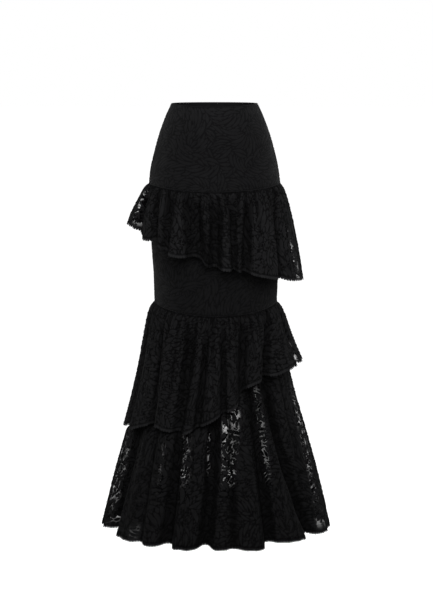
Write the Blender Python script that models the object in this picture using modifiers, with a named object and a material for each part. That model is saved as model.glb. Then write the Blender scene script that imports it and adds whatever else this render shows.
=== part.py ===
"""Tiered maxi skirt of leaf lace, hollow and open at waist and hem, as it hangs when worn.

Metres, +Z up, front towards -Y. The origin is the centre of the waist opening.
Angles run in degrees around the garment: 0 is the front, 90 the side at +X, 180 the back.
"""
import math

import bmesh
import bpy
from mathutils import Vector

# Cloth
WALL = 0.0012
SEAM_GAP = 0.0003
LINING_SINK = WALL + 2.0 * SEAM_GAP
SIDE_SEAM = 90.0
SIDE_SEAM_SHIFT = 0.0003
CLOTH_ROUGHNESS = 0.85

# Heights on the body, measured down from the waist
HIP_SEAM_SIDE = -0.193
HIP_SEAM_DIP = 0.0135
KNEE_SEAM_SIDE = -0.488
KNEE_SEAM_DIP = 0.023
BACK_DIP_SHARE = 0.4
DIP_SHARPNESS = 1.6
WAIST_SIDE_RISE = 0.0045
KNEE_LACE_TUCK = 0.008
LINING_TAIL = 0.003

# The lower half hangs a little to one side, and the hips sit a little behind the waist
SWAY = 0.0030
SWAY_START = -0.12
SWAY_END = -0.40
HIP_SET_BACK = 0.006

# The line that the fitted sections follow down to the knee seam, and the lowest tier's crests below it
FORM_SECTIONS = (
    # height, half width, half depth
    (0.010, 0.1040, 0.0850),
    (0.000, 0.1085, 0.0880),
    (-0.030, 0.1225, 0.0960),
    (-0.070, 0.1370, 0.1045),
    (-0.110, 0.1480, 0.1115),
    (-0.150, 0.1575, 0.1165),
    (-0.195, 0.1635, 0.1200),
    (-0.250, 0.1650, 0.1225),
    (-0.350, 0.1590, 0.1230),
    (-0.450, 0.1545, 0.1215),
    (-0.500, 0.1540, 0.1220),
    (-0.600, 0.1720, 0.1400),
    (-0.700, 0.1950, 0.1630),
    (-0.800, 0.2225, 0.1875),
    (-0.900, 0.2500, 0.2115),
    (-1.000, 0.2750, 0.2330),
    (-1.070, 0.2920, 0.2470),
)

# Each tier's lower edge: its height, how far its crests stand off the form, and how deep its folds are
UPPER_RUFFLE_EDGE = (
    # angle, height, stand off, fold depth
    (-90.0, -0.293, 0.055, 0.016),
    (-69.0, -0.299, 0.056, 0.018),
    (-60.0, -0.321, 0.057, 0.020),
    (-47.0, -0.331, 0.057, 0.022),
    (-37.0, -0.355, 0.058, 0.030),
    (-26.0, -0.362, 0.060, 0.038),
    (-14.0, -0.369, 0.060, 0.042),
    (-4.0, -0.389, 0.060, 0.040),
    (10.0, -0.395, 0.060, 0.038),
    (24.0, -0.403, 0.061, 0.034),
    (48.0, -0.419, 0.062, 0.026),
    (75.0, -0.428, 0.062, 0.020),
    (100.0, -0.428, 0.062, 0.022),
    (145.0, -0.395, 0.061, 0.026),
    (180.0, -0.360, 0.060, 0.026),
    (215.0, -0.325, 0.058, 0.024),
    (245.0, -0.300, 0.056, 0.020),
)
LOWER_RUFFLE_EDGE = (
    # angle, height, stand off, fold depth
    (-90.0, -0.801, 0.011, 0.016),
    (-67.0, -0.797, 0.012, 0.016),
    (-45.0, -0.778, 0.014, 0.017),
    (-31.0, -0.788, 0.015, 0.022),
    (-20.0, -0.792, 0.016, 0.024),
    (-12.0, -0.778, 0.018, 0.024),
    (5.0, -0.742, 0.021, 0.022),
    (14.0, -0.724, 0.023, 0.024),
    (22.0, -0.682, 0.026, 0.026),
    (35.0, -0.664, 0.029, 0.026),
    (54.0, -0.645, 0.037, 0.024),
    (75.0, -0.636, 0.038, 0.022),
    (100.0, -0.630, 0.038, 0.022),
    (145.0, -0.680, 0.027, 0.020),
    (180.0, -0.740, 0.021, 0.020),
    (215.0, -0.785, 0.015, 0.018),
    (245.0, -0.800, 0.011, 0.014),
)
FLARE_EDGE = (
    # angle, height
    (-90.0, -1.056),
    (-68.0, -1.058),
    (-48.0, -1.064),
    (-30.0, -1.069),
    (-15.0, -1.069),
    (10.0, -1.069),
    (26.0, -1.070),
    (37.0, -1.060),
    (60.0, -1.062),
    (90.0, -1.057),
    (130.0, -1.060),
    (180.0, -1.066),
    (230.0, -1.060),
)
FLARE_FOLD_DEPTH = 0.042

# The hollows between folds, front first. The share is of the tier's fold depth
UPPER_RUFFLE_HOLLOWS = (
    # angle at seam, angle at edge, half width at seam, half width at edge, share
    (-70.0, -63.0, 3.0, 3.0, 0.80),
    (-53.0, -47.0, 2.6, 2.4, 0.90),
    (-38.5, -37.8, 2.4, 2.4, 0.80),
    (-20.5, -14.4, 6.6, 6.0, 0.95),
    (1.5, -0.2, 4.2, 3.2, 0.90),
    (14.5, 13.4, 2.4, 1.9, 0.75),
    (29.0, 21.8, 3.6, 2.7, 0.90),
    (56.0, 49.5, 2.5, 2.5, 0.70),
    (105.0, 103.0, 3.4, 3.4, 0.90),
    (124.0, 121.0, 4.6, 4.2, 0.95),
    (142.0, 142.5, 2.6, 2.8, 0.70),
    (160.0, 161.0, 3.8, 3.6, 0.90),
    (181.0, 180.0, 5.6, 5.0, 0.95),
    (201.0, 199.0, 2.8, 2.8, 0.75),
    (219.0, 219.5, 4.4, 4.0, 0.95),
    (237.0, 238.0, 2.6, 2.8, 0.75),
    (255.0, 256.0, 3.0, 3.0, 0.85),
)
LOWER_RUFFLE_HOLLOWS = (
    # angle at seam, angle at edge, half width at seam, half width at edge, share
    (-75.0, -77.0, 3.8, 4.2, 0.90),
    (-50.0, -45.4, 2.4, 2.2, 0.75),
    (-21.0, -24.9, 4.4, 3.0, 1.00),
    (-6.5, -12.1, 2.2, 2.2, 0.80),
    (6.5, 5.1, 2.0, 2.2, 0.75),
    (25.0, 18.4, 4.2, 2.8, 0.95),
    (50.5, 37.3, 3.4, 3.0, 0.95),
    (74.0, 72.0, 2.6, 2.6, 0.50),
    (106.0, 105.0, 3.0, 3.0, 0.85),
    (124.0, 123.0, 3.8, 3.6, 0.95),
    (142.0, 141.0, 2.4, 2.6, 0.70),
    (159.0, 160.0, 3.6, 3.4, 0.90),
    (178.0, 180.0, 4.2, 4.0, 1.00),
    (198.0, 199.0, 2.6, 2.8, 0.75),
    (217.0, 216.0, 3.8, 3.6, 0.95),
    (236.0, 236.0, 2.8, 3.0, 0.80),
    (255.0, 255.0, 3.0, 3.0, 0.80),
)
FLARE_HOLLOWS = (
    # angle at seam, angle at edge, half width at seam, half width at edge, share
    (-60.0, -70.0, 6.0, 5.4, 0.90),
    (-41.0, -43.0, 3.0, 3.4, 0.35),
    (-23.0, -27.4, 3.2, 3.2, 0.95),
    (0.5, -5.8, 3.2, 3.4, 1.00),
    (10.5, 9.5, 3.2, 3.4, 0.45),
    (26.5, 30.1, 3.0, 3.2, 0.95),
    (38.0, 59.5, 3.6, 3.8, 1.00),
    (106.0, 107.0, 4.6, 4.6, 0.85),
    (128.0, 127.0, 4.0, 4.0, 0.95),
    (150.0, 151.0, 3.4, 3.8, 0.80),
    (172.0, 175.0, 4.6, 4.8, 1.00),
    (196.0, 198.0, 3.4, 3.8, 0.80),
    (219.0, 221.0, 4.6, 4.6, 0.95),
    (244.0, 246.0, 3.8, 4.0, 0.85),
)

TIERS = {
    "upper_ruffle": {
        "hollows": UPPER_RUFFLE_HOLLOWS, "puff": 0.004, "puff_drop": 0.010, "spread": 0.85,
        "growth": 3.0, "drift": 1.0, "edge_lift": 0.003, "levels": (0.0, 0.07, 0.22, 0.46, 0.73, 1.0),
    },
    "lower_ruffle": {
        "hollows": LOWER_RUFFLE_HOLLOWS, "puff": 0.0165, "puff_drop": 0.015, "spread": 1.5,
        "growth": 3.0, "drift": 1.2, "edge_lift": 0.003, "levels": (0.0, 0.045, 0.15, 0.33, 0.55, 0.78, 1.0),
    },
    "flare": {
        "hollows": FLARE_HOLLOWS,
        "drift": 2.0, "edge_lift": 0.008, "levels": (0.0, 0.16, 0.36, 0.50, 0.62, 0.75, 0.88, 1.0),
    },
}
CREST_SHARE = 0.08
FOLD_CORE_SHARE = 0.72
FOLD_FOOT_SHARE = 0.28
FOLD_FOOT_WIDTH = 2.4
CREST_STEP = 8.0
HOLLOW_COLUMNS = (-1.5, -0.65, 0.65, 1.5)
FLARE_GROWTH = 1.2
FLARE_TUCK_LEVEL = 0.10
UNDER_RUFFLE_LEVEL = 0.05
REST_GAP = 0.0025
REST_DROP = 0.004
REST_SOFTNESS = 0.0015
UNDER_RUFFLE_GAP = 0.0045
UNDER_RUFFLE_RELEASE = 0.9

# Fitted panels
PANEL_COLUMNS = 16
HIP_LEVELS = (0.0, 0.16, 0.36, 0.57, 0.78, 1.0)
KNEE_LEVELS = (0.0, 0.25, 0.5, 0.75, 1.0)

# Leaf gaps that go right through the unlined lace
LEAF_GAP_LENGTH = 0.018
LEAF_GAP_WIDTH = 0.0075
LEAF_GAP_TILT = 24.0
LEAF_GAP_MARGIN = 0.72
LEAF_OUTLINE = ((0.0, 1.0), (1.0, 0.25), (0.8, -0.45), (0.0, -1.0), (-1.0, -0.25), (-0.8, 0.45))
GAP_ROWS = {
    # level of the cell: every how many crest cells, offset
    "upper_ruffle": {2: (3, 0), 3: (3, 1), 4: (2, 0)},
    "lower_ruffle": {2: (3, 1), 3: (3, 0), 4: (3, 2), 5: (2, 1)},
    "flare": {2: (3, 1), 3: (2, 0), 4: (2, 1), 5: (2, 0), 6: (2, 1)},
}

LACE_COLOUR = (0.012, 0.012, 0.013, 1.0)
LINING_COLOUR = (0.008, 0.008, 0.009, 1.0)


def hermite(rows, at, column):
    """Smooth value of one column of a table whose first column rises or falls steadily."""
    if (rows[0][0] < rows[-1][0]) != (rows[0][0] < at):
        return rows[0][column]
    for index in range(len(rows) - 1):
        low, high = rows[index], rows[index + 1]
        if (at - low[0]) * (at - high[0]) > 0.0:
            continue
        span = high[0] - low[0]
        before = rows[max(index - 1, 0)]
        after = rows[min(index + 2, len(rows) - 1)]
        slope_low = (high[column] - before[column]) / (high[0] - before[0]) * span
        slope_high = (after[column] - low[column]) / (after[0] - low[0]) * span
        f = (at - low[0]) / span
        return (
            low[column] * (2 * f ** 3 - 3 * f ** 2 + 1)
            + slope_low * (f ** 3 - 2 * f ** 2 + f)
            + high[column] * (3 * f ** 2 - 2 * f ** 3)
            + slope_high * (f ** 3 - f ** 2)
        )
    return rows[-1][column]


def around(rows, angle, column):
    """The same for a table of angles, which closes on itself after a whole turn."""
    turned = [(row[0] + shift,) + tuple(row[1:]) for shift in (-360.0, 0.0, 360.0) for row in rows]
    return hermite(turned, angle, column)


def smooth_step(value, start, end):
    f = min(max((value - start) / (end - start), 0.0), 1.0)
    return f * f * (3.0 - 2.0 * f)


def soft_max(value, floor):
    """The larger of two offsets, with a rounded change from one to the other."""
    rounding = REST_SOFTNESS * math.log(1.0 + math.exp(-abs(value - floor) / REST_SOFTNESS))
    return max(value, floor) + rounding


def soft_min(value, ceiling):
    return -soft_max(-value, -ceiling)


def facing(angle):
    """1 at the front, a smaller share at the back, 0 at the sides."""
    cosine = math.cos(math.radians(angle))
    share = 1.0 if cosine > 0.0 else BACK_DIP_SHARE
    return share * abs(cosine) ** DIP_SHARPNESS


def hip_seam(angle):
    return HIP_SEAM_SIDE - HIP_SEAM_DIP * facing(angle)


def knee_seam(angle):
    return KNEE_SEAM_SIDE - KNEE_SEAM_DIP * facing(angle)


def form_point(angle, height, offset):
    """A point on the form's section at that height, moved out by the offset."""
    turn = math.radians(angle)
    sway = SWAY * smooth_step(height, SWAY_START, SWAY_END)
    set_back = HIP_SET_BACK * math.sin(math.pi * min(max(height / KNEE_SEAM_SIDE, 0.0), 1.0))
    half_width = hermite(FORM_SECTIONS, height, 1) + offset
    half_depth = hermite(FORM_SECTIONS, height, 2) + offset
    return Vector((sway + half_width * math.sin(turn), set_back - half_depth * math.cos(turn), height))


def hollow_share(tier, angle, level):
    """The share of the fold depth taken away there: near 0 on a crest, 1 in the deepest hollow."""
    total = 0.0
    drift = level ** TIERS[tier]["drift"]
    for seam_angle, edge_angle, seam_half, edge_half, share in TIERS[tier]["hollows"]:
        centre = seam_angle + (edge_angle - seam_angle) * drift
        half = seam_half + (edge_half - seam_half) * level
        away = (angle - centre + 180.0) % 360.0 - 180.0
        x = away / half
        core = FOLD_CORE_SHARE / (1.0 + x ** 4)
        foot = FOLD_FOOT_SHARE / (1.0 + (x / FOLD_FOOT_WIDTH) ** 2)
        total += share * (core + foot)
    return total - CREST_SHARE


def tier_span(tier, angle):
    """Heights of a tier's upper and lower edges."""
    if tier == "upper_ruffle":
        return hip_seam(angle) - SEAM_GAP, around(UPPER_RUFFLE_EDGE, angle, 1)
    if tier == "lower_ruffle":
        return knee_seam(angle) - SEAM_GAP, around(LOWER_RUFFLE_EDGE, angle, 1)
    top = knee_seam(angle) - LINING_TAIL - SEAM_GAP * 2.0
    return top, around(FLARE_EDGE, angle, 1)


def crest_offset(tier, edge, angle, level, drop):
    """How far the crests of a ruffle stand off the form."""
    puff = TIERS[tier]["puff"]
    rise = puff * (1.0 - math.exp(-drop / TIERS[tier]["puff_drop"]))
    return rise + (around(edge, angle, 2) - puff) * level ** TIERS[tier]["spread"]


def fold_growth(tier, level):
    return 1.0 - max(1.0 - level, 0.0) ** TIERS[tier]["growth"]


def upper_ruffle_offset(angle, height, level):
    drop = hip_seam(angle) - height
    crest = crest_offset("upper_ruffle", UPPER_RUFFLE_EDGE, angle, level, drop)
    depth = around(UPPER_RUFFLE_EDGE, angle, 3) * fold_growth("upper_ruffle", level)
    offset = crest - depth * hollow_share("upper_ruffle", angle, level)
    rest = REST_GAP * (1.0 - math.exp(-drop / REST_DROP))
    return soft_max(offset, rest) - REST_SOFTNESS * math.log(2.0) * math.exp(-drop / REST_DROP)


def lower_ruffle_room(angle, height):
    """Stand off and fold depth of the lower ruffle at that height, carried on past its edge."""
    top, bottom = tier_span("lower_ruffle", angle)
    level = max((height - top) / (bottom - top), 0.0)
    drop = max(top - height, 0.0)
    crest = crest_offset("lower_ruffle", LOWER_RUFFLE_EDGE, angle, min(level, 1.0), drop)
    depth = around(LOWER_RUFFLE_EDGE, angle, 3) * fold_growth("lower_ruffle", level)
    past_edge = max(bottom - height, 0.0)
    return crest, depth, past_edge


def lower_ruffle_offset(angle, height, level):
    crest, depth, _ = lower_ruffle_room(angle, height)
    return crest - depth * hollow_share("lower_ruffle", angle, level)


def flare_offset(angle, height, level):
    own = -LINING_SINK * (1.0 - smooth_step(level, 0.0, FLARE_TUCK_LEVEL))
    own -= FLARE_FOLD_DEPTH * level ** FLARE_GROWTH * hollow_share("flare", angle, level)
    crest, depth, past_edge = lower_ruffle_room(angle, height)
    ceiling = crest - depth - UNDER_RUFFLE_GAP * smooth_step(level, 0.0, UNDER_RUFFLE_LEVEL) - LINING_SINK
    return soft_min(own, ceiling + UNDER_RUFFLE_RELEASE * past_edge)


OFFSETS = {
    "upper_ruffle": upper_ruffle_offset,
    "lower_ruffle": lower_ruffle_offset,
    "flare": flare_offset,
}


def tier_point(tier, angle, level):
    top, bottom = tier_span(tier, angle)
    bottom += TIERS[tier]["edge_lift"] * max(hollow_share(tier, angle, 1.0), 0.0)
    height = top + (bottom - top) * level
    return form_point(angle, height, OFFSETS[tier](angle, height, level))


def tier_columns(tier, start, end):
    """Columns between side seams: angle at the seam, angle at the edge, and if a crest starts there."""
    columns = [(start, start, True)]
    for seam_angle, edge_angle, seam_half, edge_half, _ in TIERS[tier]["hollows"]:
        if not start < edge_angle < end:
            continue
        left = (seam_angle + HOLLOW_COLUMNS[0] * seam_half, edge_angle + HOLLOW_COLUMNS[0] * edge_half)
        fill_crest(columns, left)
        for place in HOLLOW_COLUMNS:
            crest = place == HOLLOW_COLUMNS[-1]
            columns.append((seam_angle + place * seam_half, edge_angle + place * edge_half, crest))
    fill_crest(columns, (end, end))
    columns.append((end, end, False))
    return columns


def fill_crest(columns, until):
    seam_from, edge_from, _ = columns[-1]
    steps = max(round((until[1] - edge_from) / CREST_STEP), 1)
    for step in range(1, steps):
        f = step / steps
        at_seam = seam_from + (until[0] - seam_from) * f
        at_edge = edge_from + (until[1] - edge_from) * f
        columns.append((at_seam, at_edge, True))


def new_object(name, mesh_build, collection, material, parent):
    mesh = bpy.data.meshes.new(name)
    mesh_build.normal_update()
    mesh_build.to_mesh(mesh)
    mesh_build.free()
    mesh.shade_smooth()
    mesh.materials.append(material)
    piece = bpy.data.objects.new(name, mesh)
    collection.objects.link(piece)
    piece.parent = parent
    thicken = piece.modifiers.new("cloth thickness", "SOLIDIFY")
    thicken.thickness = WALL
    thicken.offset = -1.0
    return piece


def loft(rings, closed, gap_cells=()):
    """An open surface through rings of points, with a leaf cut out of each cell that is named."""
    surface = bmesh.new()
    grid = [[surface.verts.new(point) for point in ring] for ring in rings]
    columns = len(rings[0])
    for row in range(len(rings) - 1):
        for column in range(columns if closed else columns - 1):
            beside = (column + 1) % columns
            corners = (grid[row][column], grid[row + 1][column], grid[row + 1][beside], grid[row][beside])
            if (row, column) in gap_cells:
                cut_leaf(surface, corners)
            else:
                surface.faces.new(corners)
    return surface


def cut_leaf(surface, corners):
    """Fill a cell around a slanting leaf-shaped gap."""
    top_left, bottom_left, bottom_right, top_right = corners
    centre = sum((corner.co for corner in corners), Vector()) / 4.0
    across = (top_right.co + bottom_right.co - top_left.co - bottom_left.co) / 2.0
    along = (top_left.co + top_right.co - bottom_left.co - bottom_right.co) / 2.0
    half_width = min(LEAF_GAP_WIDTH, across.length * LEAF_GAP_MARGIN) / 2.0
    half_length = min(LEAF_GAP_LENGTH, along.length * LEAF_GAP_MARGIN) / 2.0
    across.normalize()
    along.normalize()
    lean = math.radians(LEAF_GAP_TILT)
    leaf = []
    for x, y in LEAF_OUTLINE:
        side = x * half_width * math.cos(lean) + y * half_length * math.sin(lean)
        up = y * half_length * math.cos(lean) - x * half_width * math.sin(lean)
        leaf.append(surface.verts.new(centre + across * side + along * up))
    tip, right_high, right_low, foot, left_low, left_high = leaf
    for ring in (
        (top_left, tip, top_right),
        (top_right, tip, right_high),
        (top_right, right_high, right_low, bottom_right),
        (bottom_right, right_low, foot),
        (bottom_right, foot, bottom_left),
        (bottom_left, foot, left_low),
        (bottom_left, left_low, left_high, top_left),
        (top_left, left_high, tip),
    ):
        surface.faces.new(ring)


def seam_shift(angle, start, end):
    """Keeps the two panels of a tube apart at the side seams."""
    if angle not in (start, end):
        return Vector()
    front = start < 0.0
    return Vector((0.0, -SIDE_SEAM_SHIFT if front else SIDE_SEAM_SHIFT, 0.0))


def tier_panel(tier, start, end):
    columns = tier_columns(tier, start, end)
    drift = TIERS[tier]["drift"]
    rings = []
    for level in TIERS[tier]["levels"]:
        ring = []
        for seam_angle, edge_angle, _ in columns:
            angle = seam_angle + (edge_angle - seam_angle) * level ** drift
            ring.append(tier_point(tier, angle, level) + seam_shift(seam_angle, start, end))
        rings.append(ring)
    crests = [index for index, column in enumerate(columns) if column[2]]
    gap_cells = set()
    for row, (every, first) in GAP_ROWS[tier].items():
        gap_cells.update((row, column) for column in crests[first::every])
    return loft(rings, False, gap_cells)


def hip_height(angle, level):
    top = WAIST_SIDE_RISE * math.sin(math.radians(angle)) ** 2
    return top + (hip_seam(angle) - top) * level


def knee_height(angle, level):
    top = hip_seam(angle) - KNEE_LACE_TUCK
    return top + (knee_seam(angle) - top) * level


def fitted_panel(height_at, levels, start, end):
    rings = []
    for level in levels:
        ring = []
        for column in range(PANEL_COLUMNS + 1):
            angle = start + (end - start) * column / PANEL_COLUMNS
            ring.append(form_point(angle, height_at(angle, level), 0.0) + seam_shift(angle, start, end))
        rings.append(ring)
    return loft(rings, False)


def lining_tube():
    """One tube whose rings lie behind those of the fitted lace, so that the two never meet."""
    angles = [180.0 * column / PANEL_COLUMNS - SIDE_SEAM for column in range(2 * PANEL_COLUMNS)]
    heights = [[hip_height(angle, level) for angle in angles] for level in HIP_LEVELS]
    heights += [[knee_height(angle, level) for angle in angles] for level in KNEE_LEVELS]
    heights.append([knee_seam(angle) - LINING_TAIL for angle in angles])
    rings = [[form_point(angle, height, -LINING_SINK) for angle, height in zip(angles, row)] for row in heights]
    return loft(rings, True)


def cloth_material(name, colour):
    material = bpy.data.materials.new(name)
    material.use_nodes = True
    shader = material.node_tree.nodes["Principled BSDF"]
    shader.inputs["Base Color"].default_value = colour
    shader.inputs["Roughness"].default_value = CLOTH_ROUGHNESS
    shader.inputs["Metallic"].default_value = 0.0
    return material


def main():
    for old in list(bpy.data.objects):
        bpy.data.objects.remove(old, do_unlink=True)
    collection = bpy.data.collections.new("tiered maxi skirt")
    bpy.context.scene.collection.children.link(collection)
    waist = bpy.data.objects.new("waist centre", None)
    collection.objects.link(waist)

    lining = cloth_material("lining cloth", LINING_COLOUR)
    new_object("lining", lining_tube(), collection, lining, waist)

    panels = (("front", -SIDE_SEAM, SIDE_SEAM), ("back", SIDE_SEAM, 360.0 - SIDE_SEAM))
    for side, start, end in panels:
        lace = cloth_material("fitted lace " + side, LACE_COLOUR)
        hip = fitted_panel(hip_height, HIP_LEVELS, start, end)
        new_object("hip_lace_" + side, hip, collection, lace, waist)
        knee = fitted_panel(knee_height, KNEE_LEVELS, start, end)
        new_object("knee_lace_" + side, knee, collection, lace, waist)
    for tier in TIERS:
        for side, start, end in panels:
            lace = cloth_material(tier.replace("_", " ") + " lace " + side, LACE_COLOUR)
            new_object(tier + "_" + side, tier_panel(tier, start, end), collection, lace, waist)


main()
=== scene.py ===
"""Looks of the tiered lace maxi skirt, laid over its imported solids.

Metres, +Z up, front towards -Y. Angles run in degrees around the skirt: 0 is the front, 90 the side
at +X, 180 the back. Each tube of cloth is two panels, front and back, and a place on a panel is given
by an angle and a level, which is 0 at its upper edge and 1 at its lower edge.
"""
import math

import bpy
import numpy as np
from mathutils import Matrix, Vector


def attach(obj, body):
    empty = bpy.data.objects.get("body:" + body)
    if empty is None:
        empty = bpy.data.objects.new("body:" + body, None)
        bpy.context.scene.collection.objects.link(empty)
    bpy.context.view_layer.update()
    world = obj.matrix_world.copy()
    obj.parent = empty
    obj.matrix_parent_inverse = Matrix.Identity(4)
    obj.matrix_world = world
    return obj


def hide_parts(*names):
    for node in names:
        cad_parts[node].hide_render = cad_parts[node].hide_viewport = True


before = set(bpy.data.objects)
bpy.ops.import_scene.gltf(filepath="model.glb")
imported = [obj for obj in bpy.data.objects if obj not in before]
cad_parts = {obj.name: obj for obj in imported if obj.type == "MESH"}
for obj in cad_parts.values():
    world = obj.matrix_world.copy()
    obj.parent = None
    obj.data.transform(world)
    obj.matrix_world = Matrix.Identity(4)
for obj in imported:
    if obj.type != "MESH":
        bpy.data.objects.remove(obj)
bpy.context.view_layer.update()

# Cloth
SIDE_SEAM = 90.0
PANEL_ENDS = (("front", -SIDE_SEAM, SIDE_SEAM), ("back", SIDE_SEAM, 360.0 - SIDE_SEAM))
SHEET_SINK = 0.0007
LINING_SINK = 0.0020
KNEE_TUCK = 0.002

# Heights and form of the body, as in the part's source
HIP_SEAM_SIDE = -0.193
HIP_SEAM_DIP = 0.0135
KNEE_SEAM_SIDE = -0.488
KNEE_SEAM_DIP = 0.023
BACK_DIP_SHARE = 0.4
DIP_SHARPNESS = 1.6
WAIST_SIDE_RISE = 0.0045
WAIST_BACK_DIP = 0.25
LINING_TAIL = 0.003
SEAM_GAP = 0.0003
SWAY = 0.0030
SWAY_START = -0.12
SWAY_END = -0.40
HIP_SET_BACK = 0.006
FORM_SECTIONS = (
    # height, half width, half depth
    (0.010, 0.1040, 0.0850),
    (0.000, 0.1085, 0.0880),
    (-0.030, 0.1225, 0.0960),
    (-0.070, 0.1370, 0.1045),
    (-0.110, 0.1480, 0.1115),
    (-0.150, 0.1575, 0.1165),
    (-0.195, 0.1635, 0.1200),
    (-0.250, 0.1650, 0.1225),
    (-0.350, 0.1590, 0.1230),
    (-0.450, 0.1545, 0.1215),
    (-0.500, 0.1540, 0.1220),
    (-0.600, 0.1720, 0.1400),
    (-0.700, 0.1950, 0.1630),
    (-0.800, 0.2225, 0.1875),
    (-0.900, 0.2500, 0.2115),
    (-1.000, 0.2750, 0.2330),
    (-1.070, 0.2920, 0.2470),
)

# Lower edges of the tiers: angle, height and, for the ruffles, stand off and fold depth
UPPER_RUFFLE_EDGE = (
    (-90.0, -0.293, 0.055, 0.016),
    (-69.0, -0.299, 0.056, 0.018),
    (-60.0, -0.321, 0.057, 0.020),
    (-47.0, -0.331, 0.057, 0.022),
    (-37.0, -0.355, 0.058, 0.030),
    (-26.0, -0.362, 0.060, 0.038),
    (-14.0, -0.369, 0.060, 0.042),
    (-4.0, -0.389, 0.060, 0.040),
    (10.0, -0.395, 0.060, 0.038),
    (24.0, -0.403, 0.061, 0.034),
    (48.0, -0.419, 0.062, 0.026),
    (75.0, -0.428, 0.062, 0.020),
    (100.0, -0.428, 0.062, 0.022),
    (145.0, -0.395, 0.061, 0.026),
    (180.0, -0.360, 0.060, 0.026),
    (215.0, -0.325, 0.058, 0.024),
    (245.0, -0.300, 0.056, 0.020),
)
LOWER_RUFFLE_EDGE = (
    (-90.0, -0.801, 0.011, 0.016),
    (-67.0, -0.797, 0.012, 0.016),
    (-45.0, -0.778, 0.014, 0.017),
    (-31.0, -0.788, 0.015, 0.022),
    (-20.0, -0.792, 0.016, 0.024),
    (-12.0, -0.778, 0.018, 0.024),
    (5.0, -0.742, 0.021, 0.022),
    (14.0, -0.724, 0.023, 0.024),
    (22.0, -0.682, 0.026, 0.026),
    (35.0, -0.664, 0.029, 0.026),
    (54.0, -0.645, 0.037, 0.024),
    (75.0, -0.636, 0.038, 0.022),
    (100.0, -0.630, 0.038, 0.022),
    (145.0, -0.680, 0.027, 0.020),
    (180.0, -0.740, 0.021, 0.020),
    (215.0, -0.785, 0.015, 0.018),
    (245.0, -0.800, 0.011, 0.014),
)
FLARE_EDGE = (
    (-90.0, -1.056),
    (-68.0, -1.058),
    (-48.0, -1.064),
    (-30.0, -1.069),
    (-15.0, -1.069),
    (10.0, -1.069),
    (26.0, -1.070),
    (37.0, -1.060),
    (60.0, -1.062),
    (90.0, -1.057),
    (130.0, -1.060),
    (180.0, -1.066),
    (230.0, -1.060),
)
FLARE_FOLD_DEPTH = 0.042

# The hollows between folds: angle at seam and at edge, half width at seam and at edge, share of fold depth
UPPER_RUFFLE_HOLLOWS = (
    (-70.0, -63.0, 3.0, 3.0, 0.80),
    (-53.0, -47.0, 2.6, 2.4, 0.90),
    (-38.5, -37.8, 2.4, 2.4, 0.80),
    (-20.5, -14.4, 6.6, 6.0, 0.95),
    (1.5, -0.2, 4.2, 3.2, 0.90),
    (14.5, 13.4, 2.4, 1.9, 0.75),
    (29.0, 21.8, 3.6, 2.7, 0.90),
    (56.0, 49.5, 2.5, 2.5, 0.70),
    (105.0, 103.0, 3.4, 3.4, 0.90),
    (124.0, 121.0, 4.6, 4.2, 0.95),
    (142.0, 142.5, 2.6, 2.8, 0.70),
    (160.0, 161.0, 3.8, 3.6, 0.90),
    (181.0, 180.0, 5.6, 5.0, 0.95),
    (201.0, 199.0, 2.8, 2.8, 0.75),
    (219.0, 219.5, 4.4, 4.0, 0.95),
    (237.0, 238.0, 2.6, 2.8, 0.75),
    (255.0, 256.0, 3.0, 3.0, 0.85),
)
LOWER_RUFFLE_HOLLOWS = (
    (-75.0, -77.0, 3.8, 4.2, 0.90),
    (-50.0, -45.4, 2.4, 2.2, 0.75),
    (-21.0, -24.9, 4.4, 3.0, 1.00),
    (-6.5, -12.1, 2.2, 2.2, 0.80),
    (6.5, 5.1, 2.0, 2.2, 0.75),
    (25.0, 18.4, 4.2, 2.8, 0.95),
    (50.5, 37.3, 3.4, 3.0, 0.95),
    (74.0, 72.0, 2.6, 2.6, 0.50),
    (106.0, 105.0, 3.0, 3.0, 0.85),
    (124.0, 123.0, 3.8, 3.6, 0.95),
    (142.0, 141.0, 2.4, 2.6, 0.70),
    (159.0, 160.0, 3.6, 3.4, 0.90),
    (178.0, 180.0, 4.2, 4.0, 1.00),
    (198.0, 199.0, 2.6, 2.8, 0.75),
    (217.0, 216.0, 3.8, 3.6, 0.95),
    (236.0, 236.0, 2.8, 3.0, 0.80),
    (255.0, 255.0, 3.0, 3.0, 0.80),
)
FLARE_HOLLOWS = (
    (-60.0, -70.0, 6.0, 5.4, 0.90),
    (-41.0, -43.0, 3.0, 3.4, 0.35),
    (-23.0, -27.4, 3.2, 3.2, 0.95),
    (0.5, -5.8, 3.2, 3.4, 1.00),
    (10.5, 9.5, 3.2, 3.4, 0.45),
    (26.5, 30.1, 3.0, 3.2, 0.95),
    (38.0, 59.5, 3.6, 3.8, 1.00),
    (106.0, 107.0, 4.6, 4.6, 0.85),
    (128.0, 127.0, 4.0, 4.0, 0.95),
    (150.0, 151.0, 3.4, 3.8, 0.80),
    (172.0, 175.0, 4.6, 4.8, 1.00),
    (196.0, 198.0, 3.4, 3.8, 0.80),
    (219.0, 221.0, 4.6, 4.6, 0.95),
    (244.0, 246.0, 3.8, 4.0, 0.85),
)
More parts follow.
